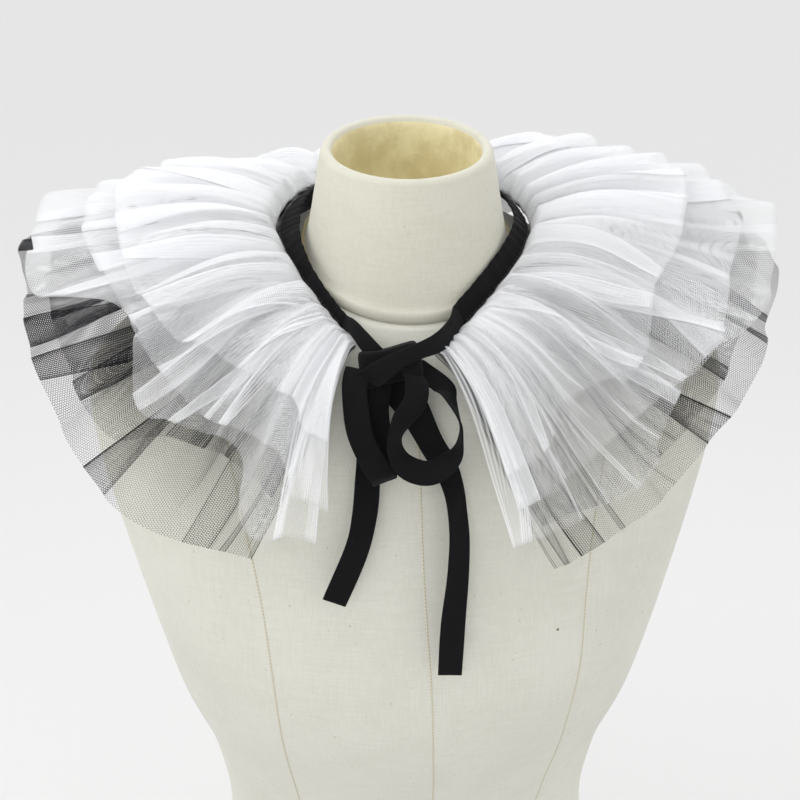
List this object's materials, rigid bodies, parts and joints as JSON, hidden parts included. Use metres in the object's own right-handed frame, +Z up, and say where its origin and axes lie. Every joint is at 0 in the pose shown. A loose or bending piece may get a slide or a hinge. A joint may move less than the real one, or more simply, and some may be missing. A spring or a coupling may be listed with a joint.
{
  "type": "tulle ruff collar on a dress form",
  "caption": "Gathered ruff collar of black and white net in layers on a black cotton neckband tied in a bow, resting on the shoulders of a limbless linen dress form with an open neck.",
  "frame": {"origin": "middle of the flat base of the dress form", "axes": "+Z up, -Y is the way the form and the bow face, +X is the wearer's left"},
  "size_m": [0.4931, 0.3592, 0.7249],
  "materials": {
    "white_net": "sheer matte",
    "black_net": "sheer matte",
    "black_cotton": "matte",
    "linen": "matte"
  },
  "bodies": {
    "root": {"form_torso": "linen", "form_neck": "linen", "neckband": "black_cotton", "black_tulle_long": "black_net", "black_tulle_short": "black_net", "white_tulle_long": "white_net", "white_tulle_mid": "white_net", "white_tulle_short": "white_net", "knot": "black_cotton", "loop_left": "black_cotton", "loop_right": "black_cotton", "tail_left": "black_cotton", "tail_right": "black_cotton"}
  },
  "joints": []
}
